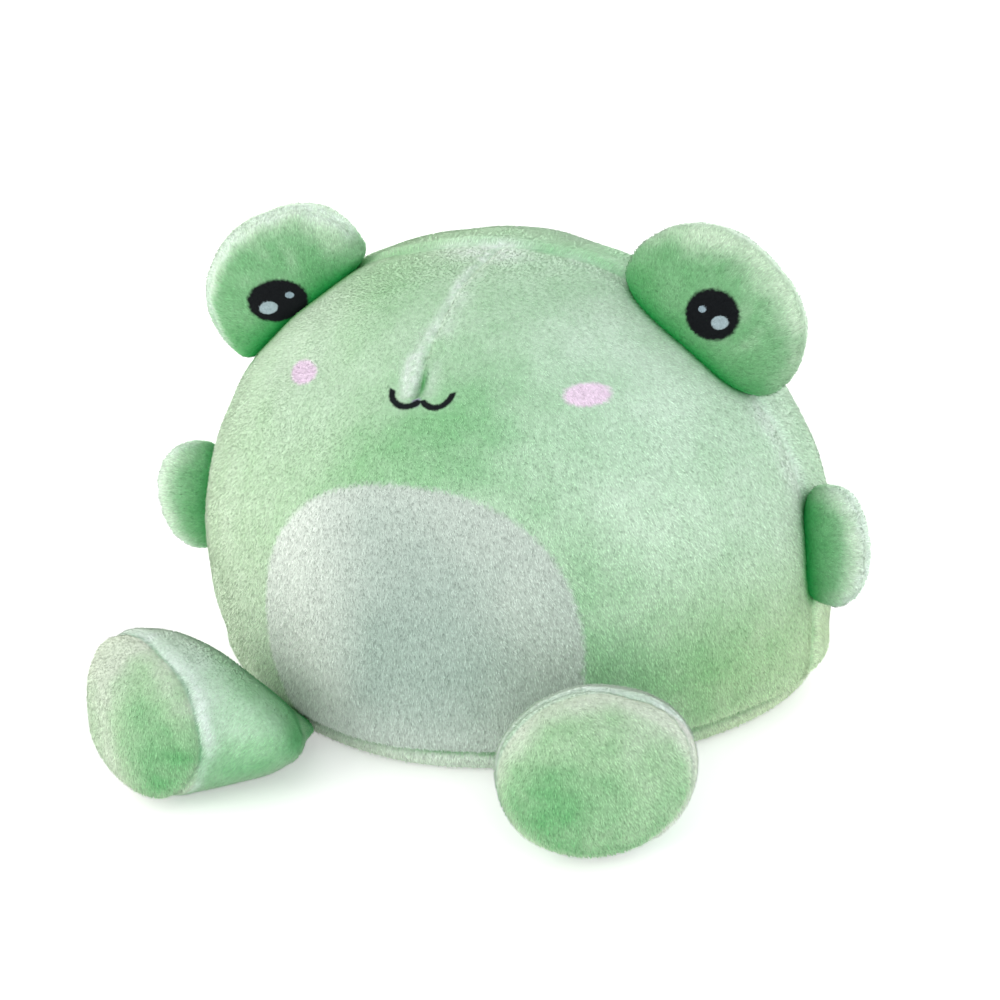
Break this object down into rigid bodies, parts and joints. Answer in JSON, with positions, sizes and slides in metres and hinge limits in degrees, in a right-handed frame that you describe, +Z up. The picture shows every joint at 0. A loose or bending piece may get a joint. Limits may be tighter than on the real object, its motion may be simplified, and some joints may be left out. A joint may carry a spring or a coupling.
{
  "type": "plush frog",
  "caption": "Stuffed toy frog: squat round body on a flat base, with eye lobes, small arms and splayed legs that bend softly at their sewn roots.",
  "frame": {"origin": "on the floor, under the middle of the whole frog's bounding box", "axes": "+Z up; the frog faces -Y, so +X is its own left side"},
  "size_m": [0.1922, 0.1716, 0.1209],
  "materials": {
    "minky_green": "short-pile plush, matt",
    "minky_sole": "short-pile plush, matt",
    "polyester_filling": "loose fibre, matt"
  },
  "bodies": {
    "torso": {"body_back_panel": "minky_green", "body_base_panel": "minky_green", "body_filling": "polyester_filling", "body_front_panel": "minky_green"},
    "left_eye": {"left_eye_back_panel": "minky_green", "left_eye_filling": "polyester_filling", "left_eye_front_panel": "minky_green"},
    "left_arm": {"left_arm_back_panel": "minky_green", "left_arm_filling": "polyester_filling", "left_arm_front_panel": "minky_green"},
    "left_leg": {"left_leg_filling": "polyester_filling", "left_leg_inner_panel": "minky_green", "left_leg_outer_panel": "minky_green", "left_sole_panel": "minky_sole"},
    "right_eye": {"right_eye_back_panel": "minky_green", "right_eye_filling": "polyester_filling", "right_eye_front_panel": "minky_green"},
    "right_arm": {"right_arm_back_panel": "minky_green", "right_arm_filling": "polyester_filling", "right_arm_front_panel": "minky_green"},
    "right_leg": {"right_leg_filling": "polyester_filling", "right_leg_inner_panel": "minky_green", "right_leg_outer_panel": "minky_green", "right_sole_panel": "minky_sole"}
  },
  "joints": [
    {"name": "left_eye_fold", "type": "hinge", "parent": "torso", "child": "left_eye", "pos_m": [0.05262, 0.01342, 0.09518], "axis": [0.7771, 0, -0.6293], "range_deg": [-10, 10], "stiffness_Nm_per_rad": 0.05},
    {"name": "left_arm_fold", "type": "hinge", "parent": "torso", "child": "left_arm", "pos_m": [0.08094, 0.01335, 0.04321], "axis": [0, 0, -1], "range_deg": [-20, 10], "stiffness_Nm_per_rad": 0.02},
    {"name": "left_leg_fold", "type": "hinge", "parent": "torso", "child": "left_leg", "pos_m": [0.03571, -0.03747, 0.0052], "axis": [-0.8788, -0.4772, 0], "range_deg": [-10, 20], "stiffness_Nm_per_rad": 0.3},
    {"name": "right_eye_fold", "type": "hinge", "parent": "torso", "child": "right_eye", "pos_m": [-0.05262, 0.01342, 0.09518], "axis": [0.7771, 0, 0.6293], "range_deg": [-10, 10], "stiffness_Nm_per_rad": 0.05},
    {"name": "right_arm_fold", "type": "hinge", "parent": "torso", "child": "right_arm", "pos_m": [-0.08094, 0.01335, 0.04321], "axis": [0, 0, 1], "range_deg": [-20, 10], "stiffness_Nm_per_rad": 0.02},
    {"name": "right_leg_fold", "type": "hinge", "parent": "torso", "child": "right_leg", "pos_m": [-0.03571, -0.03747, 0.0052], "axis": [-0.8788, 0.4772, 0], "range_deg": [-10, 20], "stiffness_Nm_per_rad": 0.3}
  ]
}
